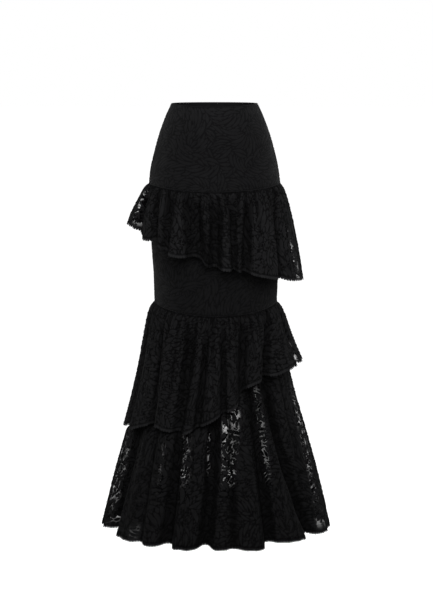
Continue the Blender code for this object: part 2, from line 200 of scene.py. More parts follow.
# Each tier's tone share and its darkening towards the lower edge are painted shade: the lower tiers are
# darker, and each grows darker further down, as the light falls off downwards
TIERS = {
    "upper_ruffle": {
        "hollows": UPPER_RUFFLE_HOLLOWS, "puff": 0.004, "puff_drop": 0.010, "spread": 0.85, "growth": 3.0,
        "drift": 1.0, "edge_lift": 0.009, "pleat_turn": 0.0, "fade": 0.0, "tone": 1.0,
    },
    "lower_ruffle": {
        "hollows": LOWER_RUFFLE_HOLLOWS, "puff": 0.0165, "puff_drop": 0.015, "spread": 1.5, "growth": 3.0,
        "drift": 1.2, "edge_lift": 0.008, "pleat_turn": 0.9, "fade": 0.05, "tone": 0.89,
    },
    "flare": {
        "hollows": FLARE_HOLLOWS,
        "drift": 2.0, "edge_lift": 0.008, "pleat_turn": 2.3, "fade": 0.34, "tone": 0.88,
    },
}
CREST_SHARE = 0.08
FOLD_CORE_SHARE = 0.72
FOLD_FOOT_SHARE = 0.28
FOLD_FOOT_WIDTH = 2.4
FLARE_GROWTH = 1.2
FLARE_TUCK_LEVEL = 0.10
UNDER_RUFFLE_LEVEL = 0.05
REST_GAP = 0.0025
REST_DROP = 0.004
REST_SOFTNESS = 0.0015
UNDER_RUFFLE_GAP = 0.0045
UNDER_RUFFLE_RELEASE = 0.9

# Fine gathers below each seam, and soft uneven ripples lower down
GATHER_DEPTH = 0.0016
GATHER_START = 0.003
GATHER_REACH = 0.030
RIPPLE_DEPTH = 0.0016
FITTED_CREASE_DEPTH = 0.0005

PLEAT_DEPTH = 0.0015

# Painted shade in the colour of the cloth in fold hollows, along fold edges, in pleat valleys and gather
# puckers, with the edging made lighter, and painted light on the fitted lace: the hip lighter at its top and
# darker below, the knee darker all over
HOLLOW_SHADE = 0.53
PLEAT_SHADE = 0.55
PUCKER_SHADE = 0.60
CREASE_SHADE = 0.60
EDGING_SHADE = 1.35
FITTED_SHADE = {"hip": (1.08, 0.81), "knee": (0.61, 0.62)}

# Tables of each panel
ANGLE_STEPS = 720
LEVEL_STEPS = 120
ALONG_STEP = 0.002

# Ground mesh
COLUMN_STEP = 0.0042
ROW_STEP = 0.0055

# Leaves
CELL = 0.0011
PROBE_STEP = 0.0011
PROBES_ASIDE = 5
LEAF_GAP = 0.0005
FLOW_ROUNDS = 50
LEAF_EDGE_HEIGHT = 0.00025
LEAF_CROWN_HEIGHT = 0.00095
LEAF_STATIONS = (0.07, 0.27, 0.50, 0.73, 0.92)
FITTED_LEAF_WIDTH = 0.0078
TIER_LEAF_WIDTH = 0.0115
SPRAY_STEP = 0.092
FILL_SIZES = (
    # length, share of the leaf width, shortest, step of the grid
    (0.0460, 1.05, 0.0240, 0.0120),
    (0.0280, 0.95, 0.0140, 0.0075),
    (0.0160, 0.75, 0.0080, 0.0050),
    (0.0090, 0.50, 0.0050, 0.0034),
)
STRIP_BARE = 0.5
CHUNK = 400
TOP_MARGIN = 0.002
FITTED_EDGE_MARGIN = 0.0015
TIER_EDGE_MARGIN = 0.006
FIRST_SEED = 11

# Cords as drop from the edge, radius and height, and the scalloped edging
CORD_STEP = 0.0035
CORD_SIDES = 5
FITTED_UPPER_CORD = (-0.0012, 0.0007, 0.0004)
FITTED_SEAM_CORD = (0.0010, 0.0008, 0.0004)
TIER_EDGE_CORD = (0.0048, 0.0005, 0.0006)
SCALLOP_PITCH = 0.0070
SCALLOP_DEPTH = 0.0038
SCALLOP_ROOT = 0.0035
SCALLOP_ARC = 8
SCALLOP_FACES = ((0, 3, 4, 5), (0, 5, 6, 1), (1, 6, 7), (1, 7, 8, 2), (2, 8, 9, 10))

# Net: the distances from a thread over which a hole or a dark dot begins, and its least and full strength.
# The dark dots are painted shade, standing for holes in the net through which only shade is seen
NET_PITCH = 0.0068
NET_HOLE = (0.05, 0.14, 0.46, 0.88)
NET_DOT = (0.13, 0.19, 0.0, 1.0)
PAINTED_HOLE_SHADE = 0.01
THREAD_GAIN = 3.8

# Darkest and lightest colour of each cloth
NET_COLOURS = (0.0024, 0.0024, 0.0026), (0.0048, 0.0048, 0.0051)
LEAF_COLOURS = (0.0105, 0.0105, 0.0112), (0.0145, 0.0145, 0.0154)
TIER_LEAF_COLOURS = (0.0100, 0.0100, 0.0106), (0.0170, 0.0170, 0.0180)
GROUND_COLOURS = (0.0055, 0.0055, 0.0060), (0.0080, 0.0080, 0.0086)
TRIM_COLOURS = (0.0105, 0.0105, 0.0112), (0.0150, 0.0150, 0.0159)
LINING_COLOURS = (0.0110, 0.0110, 0.0116), (0.0150, 0.0150, 0.0157)

# Where the net of the tiers is open enough to see through, placed for the photograph's angle
SHEER_STRIPS = {
    "flare_front": (
        # angle at top, angle at bottom, top level, bottom level, half width in metres, openness
        (-24.0, -20.0, 0.50, 0.80, 0.017, 0.90),
        (-9.0, -8.0, 0.50, 0.70, 0.005, 0.80),
        (4.5, 3.0, 0.44, 0.79, 0.007, 1.0),
        (14.5, 6.5, 0.40, 0.79, 0.011, 1.0),
        (43.0, 35.0, 0.33, 0.76, 0.009, 0.90),
        (-36.0, -34.5, 0.55, 0.78, 0.008, 0.95),
        (-79.5, -77.5, 0.45, 0.97, 0.026, 0.80),
        (-47.0, -47.0, 0.94, 1.0, 0.014, 0.09),
        (85.0, 72.5, 0.36, 0.97, 0.029, 0.85),
    ),
    "flare_back": (
        (202.0, 199.0, 0.60, 0.90, 0.025, 0.60),
        (184.5, 183.5, 0.60, 0.88, 0.014, 0.50),
        (175.5, 174.5, 0.55, 0.90, 0.022, 0.62),
        (169.0, 171.5, 0.50, 0.90, 0.022, 0.68),
        (145.5, 146.5, 0.38, 0.88, 0.022, 0.40),
        (218.5, 217.5, 0.60, 0.89, 0.015, 0.45),
        (258.5, 258.0, 0.50, 0.97, 0.030, 0.80),
        (92.5, 100.0, 0.36, 0.97, 0.031, 0.85),
    ),
    "upper_ruffle_front": ((-66.0, -69.0, 0.15, 0.93, 0.020, 1.3), (60.0, 74.0, 0.45, 1.0, 0.016, 0.90)),
    "upper_ruffle_back": ((258.5, 260.0, 0.15, 0.93, 0.025, 1.3), (107.0, 97.0, 0.45, 1.0, 0.018, 0.90)),
    "lower_ruffle_front": ((70.0, 72.0, 0.65, 1.0, 0.014, 0.75), (44.0, 41.0, 0.90, 1.0, 0.012, 0.6)),
    "lower_ruffle_back": ((104.0, 100.0, 0.60, 1.0, 0.016, 0.75),),
}
STRIP_SOFT_SIDES = (0.6, 1.3)
STRIP_SOFT_TOP = (-0.03, 0.02)
STRIP_SOFT_BOTTOM = (-0.06, 0.02)
NARROW_STRIP = 0.012
WIDE_STRIP = 0.0255

# Floor, light and camera
WHITE = (1.0, 1.0, 1.0, 1.0)
FLOOR_HEIGHT = -1.9
FLOOR_REACH = 40.0
FLOOR_LIGHT = 0.0
WORLD_LIGHT = 0.12
SOFT_BOXES = (
    # name, place, aim, size, watts
    ("front soft box", (0.08, -2.8, 1.20), (0.0, 0.0, -0.30), (2.4, 2.0), 75.0),
    ("back soft box", (0.6, 3.0, 1.5), (0.0, 0.0, -0.35), (2.2, 1.6), 60.0),
    ("left rim soft box", (-2.6, 1.2, 0.5), (0.0, 0.0, -0.2), (0.8, 2.0), 22.0),
    ("right rim soft box", (2.6, 1.2, 0.5), (0.0, 0.0, -0.2), (0.8, 2.0), 22.0),
)
CAMERA_PLACE = (0.005, -5.4, 0.25)
CAMERA_DIP = 7.7614
CAMERA_LENS = 130.8
CAMERA_SENSOR = 36.0


def smooth_table(rows, at, column, turn=False):
    """Smooth values of one column of a table at many places, closed on itself after a whole turn."""
    places = np.array([row[0] for row in rows])
    values = np.array([row[column] for row in rows])
    if turn:
        places = np.concatenate([places - 360.0, places, places + 360.0])
        values = np.tile(values, 3)
    if places[0] > places[-1]:
        places, values = places[::-1], values[::-1]
    slopes = np.empty_like(values)
    slopes[1:-1] = (values[2:] - values[:-2]) / (places[2:] - places[:-2])
    slopes[0] = (values[1] - values[0]) / (places[1] - places[0])
    slopes[-1] = (values[-1] - values[-2]) / (places[-1] - places[-2])
    at = np.clip(at, places[0], places[-1])
    index = np.clip(np.searchsorted(places, at, side="right") - 1, 0, len(places) - 2)
    span = places[index + 1] - places[index]
    f = (at - places[index]) / span
    return (
        values[index] * (2 * f ** 3 - 3 * f ** 2 + 1)
        + slopes[index] * span * (f ** 3 - 2 * f ** 2 + f)
        + values[index + 1] * (3 * f ** 2 - 2 * f ** 3)
        + slopes[index + 1] * span * (f ** 3 - f ** 2)
    )


def smooth_step(value, start, end):
    f = np.clip((value - start) / (end - start), 0.0, 1.0)
    return f * f * (3.0 - 2.0 * f)


def soft_max(value, floor):
    rounding = REST_SOFTNESS * np.log1p(np.exp(-np.abs(value - floor) / REST_SOFTNESS))
    return np.maximum(value, floor) + rounding


def soft_min(value, ceiling):
    return -soft_max(-value, -ceiling)


def facing(angle):
    cosine = np.cos(np.radians(angle))
    share = np.where(cosine > 0.0, 1.0, BACK_DIP_SHARE)
    return share * np.abs(cosine) ** DIP_SHARPNESS


def waist_edge(angle):
    """The front dips a little more than the back."""
    cosine = np.cos(np.radians(angle))
    dip = cosine ** 2 * np.where(cosine > 0.0, 1.0, WAIST_BACK_DIP)
    return WAIST_SIDE_RISE * (1.0 - dip)


def hip_seam(angle):
    return HIP_SEAM_SIDE - HIP_SEAM_DIP * facing(angle)


def knee_seam(angle):
    return KNEE_SEAM_SIDE - KNEE_SEAM_DIP * facing(angle)


def form_point(angle, height, offset):
    """Points on the body's section at those heights, moved out by the offset."""
    turn = np.radians(angle)
    sway = SWAY * smooth_step(height, SWAY_START, SWAY_END)
    set_back = HIP_SET_BACK * np.sin(np.pi * np.clip(height / KNEE_SEAM_SIDE, 0.0, 1.0))
    half_width = smooth_table(FORM_SECTIONS, height, 1) + offset
    half_depth = smooth_table(FORM_SECTIONS, height, 2) + offset
    x = sway + half_width * np.sin(turn)
    y = set_back - half_depth * np.cos(turn)
    return np.stack([x, y, height], axis=-1)


def hollow_share(tier, angle, level):
    """How much of the fold depth is taken away, from about 0 on a crest to 1 in the deepest hollow."""
    total = np.full(np.broadcast(angle, level).shape, -CREST_SHARE)
    drift = level ** TIERS[tier]["drift"]
    for seam_angle, edge_angle, seam_half, edge_half, share in TIERS[tier]["hollows"]:
        centre = seam_angle + (edge_angle - seam_angle) * drift
        half = seam_half + (edge_half - seam_half) * level
        away = (angle - centre + 180.0) % 360.0 - 180.0
        x = away / half
        foot = FOLD_FOOT_SHARE / (1.0 + (x / FOLD_FOOT_WIDTH) ** 2)
        total += share * (FOLD_CORE_SHARE / (1.0 + x ** 4) + foot)
    return total


def gathers(angle, drop):
    """Small puckers where a tier is gathered into its seam."""
    turn = np.radians(angle)
    wave = np.sin(112.0 * turn + 2.1 * np.sin(7.0 * turn) + 1.4 * np.sin(13.0 * turn + 0.8))
    wave += 0.5 * np.sin(67.0 * turn + 1.9 * np.sin(5.0 * turn + 1.1))
    reach = GATHER_REACH * (1.0 + 0.45 * np.sin(31.0 * turn + 1.3 * np.sin(11.0 * turn)))
    return GATHER_DEPTH * wave * np.exp(-drop / reach) * (1.0 - np.exp(-drop / GATHER_START))


def ripples(angle, level):
    """Soft uneven waves that no two folds share."""
    turn = np.radians(angle)
    wave = np.sin(41.0 * turn + 2.6 * np.sin(6.0 * turn) + 2.2 * level)
    wave += 0.7 * np.sin(23.0 * turn + 1.7 * np.sin(9.0 * turn + 2.0) - 3.1 * level)
    wave += 0.5 * np.sin(63.0 * turn + 2.3 * np.sin(4.0 * turn + 0.6) + 1.2 * level)
    return RIPPLE_DEPTH * wave * smooth_step(level, 0.1, 0.8)


def pleats(tier, angle, level):
    """Narrow pleats that run down from a seam and die out, as a wave from -1 to 1 and its strength."""
    turn = np.radians(angle) + TIERS[tier]["pleat_turn"]
    wave = np.sin(46.0 * turn + 3.0 * np.sin(5.0 * turn) + 1.6 * np.sin(11.0 * turn + 0.7) + 0.8 * level)
    length = 0.45 + 0.25 * np.sin(17.0 * turn + 2.0 * np.sin(6.0 * turn))
    strength = smooth_step(level, 0.0, 0.04) * (1.0 - smooth_step(level / length, 0.5, 1.6))
    return wave * np.abs(wave) ** 0.4, strength


def tier_span(tier, angle):
    if tier == "upper_ruffle":
        return hip_seam(angle) - SEAM_GAP, smooth_table(UPPER_RUFFLE_EDGE, angle, 1, True)
    if tier == "lower_ruffle":
        return knee_seam(angle) - SEAM_GAP, smooth_table(LOWER_RUFFLE_EDGE, angle, 1, True)
    return knee_seam(angle) - LINING_TAIL - SEAM_GAP * 2.0, smooth_table(FLARE_EDGE, angle, 1, True)


def ruffle_room(tier, edge, angle, level, drop):
    """How far a ruffle's crests stand off the body, and how deep its folds are."""
    form = TIERS[tier]
    rise = form["puff"] * (1.0 - np.exp(-drop / form["puff_drop"]))
    crest = rise + (smooth_table(edge, angle, 2, True) - form["puff"]) * level ** form["spread"]
    return crest, smooth_table(edge, angle, 3, True) * (1.0 - (1.0 - level) ** form["growth"])


def upper_ruffle_offset(angle, height, level):
    drop = hip_seam(angle) - height
    crest, depth = ruffle_room("upper_ruffle", UPPER_RUFFLE_EDGE, angle, level, drop)
    offset = crest - depth * hollow_share("upper_ruffle", angle, level)
    offset = offset + gathers(angle, drop) + ripples(angle, level)
    rest = REST_GAP * (1.0 - np.exp(-drop / REST_DROP))
    return soft_max(offset, rest) - REST_SOFTNESS * math.log(2.0) * np.exp(-drop / REST_DROP)


def lower_ruffle_room(angle, height):
    top, bottom = tier_span("lower_ruffle", angle)
    level = np.clip((height - top) / (bottom - top), 0.0, 1.0)
    drop = np.maximum(top - height, 0.0)
    crest, depth = ruffle_room("lower_ruffle", LOWER_RUFFLE_EDGE, angle, level, drop)
    return crest, depth, np.maximum(bottom - height, 0.0)


def lower_ruffle_offset(angle, height, level):
    crest, depth, _ = lower_ruffle_room(angle, height)
    offset = crest - depth * hollow_share("lower_ruffle", angle, level)
    return offset + gathers(angle + 17.0, knee_seam(angle) - height) + ripples(angle + 40.0, level)


def flare_offset(angle, height, level):
    own = -LINING_SINK * (1.0 - smooth_step(level, 0.0, FLARE_TUCK_LEVEL))
    own = own - FLARE_FOLD_DEPTH * level ** FLARE_GROWTH * hollow_share("flare", angle, level)
    crest, depth, past_edge = lower_ruffle_room(angle, height)
    tuck = UNDER_RUFFLE_GAP * smooth_step(level, 0.0, UNDER_RUFFLE_LEVEL)
    ceiling = crest - depth - tuck - LINING_SINK + UNDER_RUFFLE_RELEASE * past_edge
    return soft_min(own, ceiling) + 1.4 * ripples(angle + 75.0, level) * smooth_step(past_edge, 0.0, 0.05)


OFFSETS = {"upper_ruffle": upper_ruffle_offset, "lower_ruffle": lower_ruffle_offset, "flare": flare_offset}


def tier_surface(tier):
    """The outer face of a tier and its painted shade, over levels and angles at its lower edge."""
    pairs = [(row[1], row[0]) for row in TIERS[tier]["hollows"]]
    pairs += [(side, side) for side in (-SIDE_SEAM, SIDE_SEAM, 360.0 - SIDE_SEAM)]
    edges, seams = zip(*sorted(pairs))

    def drifted(edge_angle, level):
        seam_angle = np.interp(edge_angle, edges, seams)
        return seam_angle + (edge_angle - seam_angle) * level ** TIERS[tier]["drift"]

    def surface(edge_angle, level):
        angle = drifted(edge_angle, level)
        top, bottom = tier_span(tier, angle)
        edge_hollow = np.maximum(hollow_share(tier, angle, np.ones_like(level)), 0.0)
        bottom = bottom + TIERS[tier]["edge_lift"] * edge_hollow
        height = top + (bottom - top) * level
        wave, reach = pleats(tier, angle, level)
        offset = OFFSETS[tier](angle, height, level) - SHEET_SINK + PLEAT_DEPTH * (wave - 0.4) * reach
        return form_point(angle, height, offset)

    def shade(edge_angle, level):
        angle = drifted(edge_angle, level)
        hollow = hollow_share(tier, angle, level)
        grown = smooth_step(level, 0.0, 0.25)
        deep = smooth_step(hollow, 0.42, 0.72) * grown
        crease = np.exp(-((hollow - 0.52) / 0.09) ** 2) * grown
        wave, reach = pleats(tier, angle, level)
        top, bottom = tier_span(tier, angle)
        pucker = np.clip(-gathers(angle, (top - bottom) * level) / GATHER_DEPTH, 0.0, 1.0)
        # Painted shade: darker in fold hollows, along fold edges, in pleat valleys and in gather puckers,
        # darker on the lower tiers, and darker towards each tier's lower edge
        share = TIERS[tier]["tone"] * (1.0 - HOLLOW_SHADE * deep) * (1.0 - CREASE_SHADE * crease)
        share = share * (1.0 - PLEAT_SHADE * smooth_step(-wave, 0.25, 0.95) * reach)
        return share * (1.0 - PUCKER_SHADE * pucker) * (1.0 - TIERS[tier]["fade"] * level)
    return surface, shade


def fitted_creases(angle, height):
    turn = np.radians(angle)
    wave = np.sin(9.0 * turn + 1.8 * np.sin(3.0 * turn) + 34.0 * height)
    wave += 0.6 * np.sin(17.0 * turn + 1.2 * np.sin(5.0 * turn) - 61.0 * height)
    return FITTED_CREASE_DEPTH * wave


def fitted_surface(top_at, bottom_at, sink):
    def surface(angle, level):
        height = top_at(angle) + (bottom_at(angle) - top_at(angle)) * level
        ends = np.sin(np.pi * level)
        return form_point(angle, height, fitted_creases(angle, height) * ends - sink)
    return surface


class Panel:
    """One panel of cloth as tables of points, normals and lengths over angle and level."""

    def __init__(self, name, surface, start, end):
        self.name = name
        self.angles = np.linspace(start, end, ANGLE_STEPS + 1)
        self.levels = np.linspace(0.0, 1.0, LEVEL_STEPS + 1)
        angle, level = np.meshgrid(self.angles, self.levels, indexing="ij")
        self.points = surface(angle, level)
        normals = np.cross(np.gradient(self.points, axis=1), np.gradient(self.points, axis=0))
        self.normals = normals / np.linalg.norm(normals, axis=2, keepdims=True)
        across = np.linalg.norm(np.diff(self.points, axis=0), axis=2)
        self.along = np.cumsum(np.pad(across, ((1, 0), (0, 0))), axis=0)
        self.along -= self.along[ANGLE_STEPS // 2]
        down = np.linalg.norm(np.diff(self.points, axis=1), axis=2)
        self.drop = np.cumsum(np.pad(down, ((0, 0), (1, 0))), axis=1)
        self.first = self.along.min()
        places = np.arange(self.first, self.along.max() + ALONG_STEP, ALONG_STEP)
        rows = [self.column_at(places, row) for row in range(LEVEL_STEPS + 1)]
        self.angle_index = np.stack(rows, axis=1)
        self.openness = np.zeros_like(self.along)
        self.shade = np.ones_like(self.along)
        self.patches = np.zeros_like(self.along)

    def column_at(self, along, row):
        """The places in one row of the tables that lie at those lengths along the cloth."""
        return np.interp(along, self.along[:, row], np.arange(ANGLE_STEPS + 1))

    def even_columns(self, row, step):
        """Places about a step apart on the cloth, all the way along one row of the tables."""
        low, high = self.along[0, row], self.along[-1, row]
        return self.column_at(np.linspace(low, high, int((high - low) / step) + 1), row)

    def row_step(self, a):
        """The length of cloth between two rows of the tables, at the column before each place."""
        return self.drop[np.clip(a.astype(int), 0, ANGLE_STEPS), -1] / LEVEL_STEPS

    def smooth_row_step(self, a):
        return np.interp(a, np.arange(ANGLE_STEPS + 1), self.drop[:, -1]) / LEVEL_STEPS

    def read(self, table, a, l):
        """Values between the entries of a table. Past the lower edge they carry on straight."""
        i = np.clip(a.astype(int), 0, table.shape[0] - 2)
        j = np.clip(l.astype(int), 0, table.shape[1] - 2)
        fa, fl = a - i, l - j
        if table.ndim == 3:
            fa, fl = fa[..., None], fl[..., None]
        low = table[i, j] * (1.0 - fa) + table[i + 1, j] * fa
        high = table[i, j + 1] * (1.0 - fa) + table[i + 1, j + 1] * fa
        return low * (1.0 - fl) + high * fl

    def shift(self, a, l, x, y):
        """Places that lie x to the right of and y below a place, measured on the cloth, as (a, l, along)."""
        level = l + y / self.row_step(a)
        along = self.read(self.along, a, np.clip(level, 0.0, LEVEL_STEPS)) + x
        place = (along - self.first) / ALONG_STEP
        place = np.clip(place, 0.0, self.angle_index.shape[0] - 1)
        return self.read(self.angle_index, place, np.clip(level, 0.0, LEVEL_STEPS)), level, along

    def point(self, a, l, height):
        normal = self.read(self.normals, a, np.clip(l, 0.0, LEVEL_STEPS))
        return self.read(self.points, a, l) + normal * np.asarray(height)[..., None]


def add_object(name, data):
    added = bpy.data.objects.new(name, data)
    bpy.context.scene.collection.objects.link(added)
    return added


def new_piece(name, points, faces, material, uv=None, **shares):
    mesh = bpy.data.meshes.new(name)
    mesh.from_pydata(np.asarray(points).reshape(-1, 3).tolist(), [], faces)
    mesh.shade_smooth()
    mesh.materials.append(material)
    if uv is not None:
        corners = np.empty(len(mesh.loops), dtype=np.int32)
        mesh.loops.foreach_get("vertex_index", corners)
        layer = mesh.uv_layers.new(name="cloth")
        layer.data.foreach_set("uv", np.asarray(uv, dtype=np.float32)[corners].ravel())
    for key, values in shares.items():
        layer = mesh.attributes.new(key, "FLOAT", "POINT")
        layer.data.foreach_set("value", np.asarray(values, dtype=np.float32).ravel())
    piece = add_object(name, mesh)
    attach(piece, "root")
    return piece


def repeat_faces(pattern, size, count):
    """The faces of that many like pieces in a row, each with that many points."""
    return [tuple(start + v for v in face) for start in range(0, size * count, size) for face in pattern]


def ground_sheet(panel, material):
    """The net that the leaves lie on, as one even grid of faces."""
    rows = int(panel.drop[:, -1].max() / ROW_STEP)
    a = panel.even_columns(int(LEVEL_STEPS * 0.75), COLUMN_STEP)
    a, l = np.meshgrid(a, np.linspace(0.0, LEVEL_STEPS, rows + 1), indexing="ij")
    points = panel.point(a, l, np.zeros_like(a))
    uv = np.stack([panel.read(panel.along, a, l), -panel.read(panel.drop, a, l)], axis=-1)
    index = np.arange(a.size).reshape(a.shape)
    faces = np.stack([index[:-1, :-1], index[:-1, 1:], index[1:, 1:], index[1:, :-1]], axis=-1)
    # The painted shade goes onto the net as an attribute, beside openness and patches
    shares = {key: panel.read(getattr(panel, key), a, l) for key in ("openness", "shade", "patches")}
    return new_piece(
        panel.name + "_net", points, faces.reshape(-1, 4).tolist(), material, uv.reshape(-1, 2), **shares,
    )


def spine(length, bend, along):
    """Points along an arc of that length that starts along +X and turns by the bend."""
    bend = np.where(np.abs(bend) < 0.05, 0.05, bend)
    x = length / bend * np.sin(bend * along)
    y = length / bend * (1.0 - np.cos(bend * along))
    return x, y, bend * along


def leaf_offsets(leaves, along, aside):
    """Points in each leaf, right and down of its anchor, by shares along its spine and distances aside."""
    shape = (-1,) + (1,) * (along.ndim - 1)
    x0, y0, heading, length, _, bend = (leaves[:, column].reshape(shape) for column in range(2, 8))
    x, y, turn = spine(length, bend, along)
    x, y = x - aside * np.sin(turn), y + aside * np.cos(turn)
    cosine, sine = np.cos(heading), np.sin(heading)
    return x0 + x * cosine - y * sine, y0 + x * sine + y * cosine


def leaf_profile(share):
    return np.sin(np.pi * share ** 1.25) ** 0.6


def make_spray(rng, a, l, size, leaf_width):
    """A curved plume of leaves. A leaf is a row of its anchor, base, heading, length, width and bend."""
    stem_length = rng.uniform(0.110, 0.165) * size
    heading = rng.uniform(0.0, 2.0 * np.pi)
    stem_bend = rng.choice((-1.0, 1.0)) * rng.uniform(0.6, 1.7)
    leaf_length = rng.uniform(0.054, 0.074) * (0.35 + 0.65 * size)
    width = leaf_width * rng.uniform(0.65, 1.1)
    count = max(int(stem_length / (width + 0.0012)), 3)
    rows = []
    for step in range(count + 1):
        k = step / count
        x, y, turn = (float(v) for v in spine(stem_length, stem_bend, k))
        bx = (x - 0.5 * stem_length) * math.cos(heading) - y * math.sin(heading)
        by = (x - 0.5 * stem_length) * math.sin(heading) + y * math.cos(heading)
        length = leaf_length * math.sin(math.pi * (0.24 + 0.58 * k))
        lean = 1.15 - 0.85 * k
        for side in (-1.0, 1.0):
            direction = heading + turn + side * (lean + rng.uniform(-0.05, 0.05))
            rows.append((
                a, l, bx + 0.001 * math.cos(direction), by + 0.001 * math.sin(direction), direction,
                length * rng.uniform(0.92, 1.08), width, -side * rng.uniform(0.8, 1.3),
            ))
    return np.array(rows)


def make_fan(rng, a, l, leaf_width):
    """A fan of longer leaves out of one point, all curving one way."""
    count = int(rng.integers(6, 10))
    heading = rng.uniform(0.0, 2.0 * np.pi)
    bend = rng.choice((-1.0, 1.0)) * rng.uniform(0.7, 1.5)
    rows = []
    for step in range(count):
        direction = heading + 0.30 * (step - 0.5 * count)
        rows.append((
            a, l, 0.012 * math.cos(direction), 0.012 * math.sin(direction), direction,
            rng.uniform(0.042, 0.062), leaf_width * 1.15, bend,
        ))
    return np.array(rows)


def patch_share(x, y, turn):
    """Small uneven islands on the cloth where the ground is left as open net."""
    x = x + 0.013 * turn
    wave = np.sin(260.0 * x + 2.6 * np.sin(83.0 * y)) + np.sin(190.0 * y - 130.0 * x + 2.4 * np.sin(97.0 * x))
    rare = np.sin(41.0 * x + 2.0 * np.sin(31.0 * y)) + np.sin(37.0 * y + 23.0 * x)
    return smooth_step(wave + 0.35 * rare, 1.20, 1.40)


class Layout:
    """Lays leaves on a panel. Each grows as long and as wide as its neighbours leave room for."""

    def __init__(self, panel, rng, leaf_width, edge_margin):
        self.panel = panel
        self.rng = rng
        self.leaf_width = leaf_width
        columns = int((panel.along.max() - panel.first) / CELL) + 2
        rows = int(panel.drop.max() / CELL) + 3
        self.taken = np.zeros((columns, rows), dtype=bool)
        self.flow = np.zeros((columns, rows, 2))
        self.edge_margin = edge_margin
        self.leaves = []
        if panel.patches.any():
            x = panel.first + (np.arange(columns) + 0.5) * CELL
            y = (np.arange(rows) + 0.5) * CELL
            self.taken = patch_share(*np.meshgrid(x, y, indexing="ij"), len(panel.name)) > 0.5

    def cells(self, a, l, along):
        drop = self.panel.read(self.panel.drop, a, np.clip(l, 0.0, LEVEL_STEPS))
        across = np.clip(((along - self.panel.first) / CELL).astype(int), 0, self.taken.shape[0] - 1)
        down = np.clip((drop / CELL).astype(int), 0, self.taken.shape[1] - 2)
        return across, down

    def lay(self, rows, shortest):
        panel = self.panel
        probes = 2 * int(0.5 * rows[:, 5].max() / PROBE_STEP) + 3
        share = np.linspace(0.0, 1.0, probes)
        reach = 0.5 * rows[:, 6] + LEAF_GAP
        aside = np.arange(-PROBES_ASIDE, PROBES_ASIDE + 1) / PROBES_ASIDE
        x, y = leaf_offsets(rows, share[None, :, None], aside[None, None, :] * reach[:, None, None])
        a, l, along = panel.shift(rows[:, 0, None, None], rows[:, 1, None, None], x, y)
        row_step = panel.row_step(a)
        level = np.clip(l, 0.0, LEVEL_STEPS)
        left = panel.read(panel.along, np.zeros_like(a), level) + 0.0008
        right = panel.read(panel.along, np.full_like(a, ANGLE_STEPS), level) - 0.0008
        inside = (along > left) & (along < right) & (l * row_step > TOP_MARGIN)
        inside &= (LEVEL_STEPS - l) * row_step > self.edge_margin
        across, down = self.cells(a, l, along)
        middle = probes // 2
        for row in range(len(rows)):
            cells = across[row], down[row]
            free = inside[row] & ~self.taken[cells]
            if not free[middle, PROBES_ASIDE]:
                continue
            left_free = np.cumprod(free[:, PROBES_ASIDE - 1::-1], axis=1).sum(axis=1)
            right_free = np.cumprod(free[:, PROBES_ASIDE + 1:], axis=1).sum(axis=1)
            blocked = np.flatnonzero(~free[:, PROBES_ASIDE] | (left_free == 0) | (right_free == 0))
            before, after = blocked[blocked <= middle], blocked[blocked >= middle]
            low = before[-1] + 1 if len(before) else 0
            high = after[0] - 1 if len(after) else probes - 1
            length = (high - low) / (probes - 1) * rows[row, 5]
            if length < shortest:
                continue
            profile = leaf_profile(np.clip((np.arange(probes) - low) / (high - low), 0.0, 1.0))
            half = min(0.5 * rows[row, 6], 0.30 * length) * profile
            widths = []
            for side_free in (left_free, right_free):
                width = np.minimum(half, side_free / PROBES_ASIDE * reach[row])
                smooth = np.convolve(np.pad(width, 1, mode="edge"), (0.25, 0.5, 0.25), mode="valid")
                widths.append(np.minimum(width, smooth + 0.0004))
            run = slice(low, high + 1)
            if (widths[0][run] + widths[1][run]).mean() < 0.0019:
                continue
            covered = np.zeros_like(free)
            for side, width in enumerate(widths):
                span = np.abs(aside)[None, :] * reach[row] <= (width + LEAF_GAP)[:, None]
                half_side = aside <= 0.0 if side == 0 else aside >= 0.0
                covered |= span & half_side[None, :]
            covered[:low] = False
            covered[high + 1:] = False
            self.taken[cells[0][covered], cells[1][covered]] = True
            along_spine = np.broadcast_to(share[:, None], covered.shape)[covered]
            turn = 2.0 * (rows[row, 4] + rows[row, 7] * along_spine)
            self.flow[cells[0][covered], cells[1][covered]] = np.stack([np.cos(turn), np.sin(turn)], axis=-1)
            stations = low + np.array(LEAF_STATIONS) * (high - low)
            index = np.arange(probes)
            ends = (low / (probes - 1), high / (probes - 1))
            sides = [np.interp(stations, index, width) for width in widths]
            self.leaves.append(np.concatenate([rows[row], ends, sides[0], sides[1]]))

    def grid(self, step):
        """Jittered anchors over the whole panel, in mixed order."""
        panel = self.panel
        anchors = []
        rows = max(int(round(panel.drop[:, -1].max() / step)), 1)
        for row in range(rows):
            level = (row + 0.5) / rows * LEVEL_STEPS
            nearest = int(level)
            low, high = panel.along[0, nearest], panel.along[-1, nearest]
            count = max(int((high - low) / step), 1)
            for column in range(count):
                at = low + (high - low) * (column + 0.5 + 0.5 * (row % 2)) / (count + 0.5)
                anchors.append((at, level))
        anchors = np.array(anchors)
        anchors[:, 0] += self.rng.uniform(-0.3, 0.3, len(anchors)) * step
        anchors[:, 1] += self.rng.uniform(-0.3, 0.3, len(anchors)) * LEVEL_STEPS / rows
        anchors[:, 1] = np.clip(anchors[:, 1], 0.0, LEVEL_STEPS)
        place = np.clip((anchors[:, 0] - panel.first) / ALONG_STEP, 0.0, panel.angle_index.shape[0] - 1)
        a = panel.read(panel.angle_index, place, anchors[:, 1])
        order = self.rng.permutation(len(anchors))
        return a[order], anchors[order, 1]

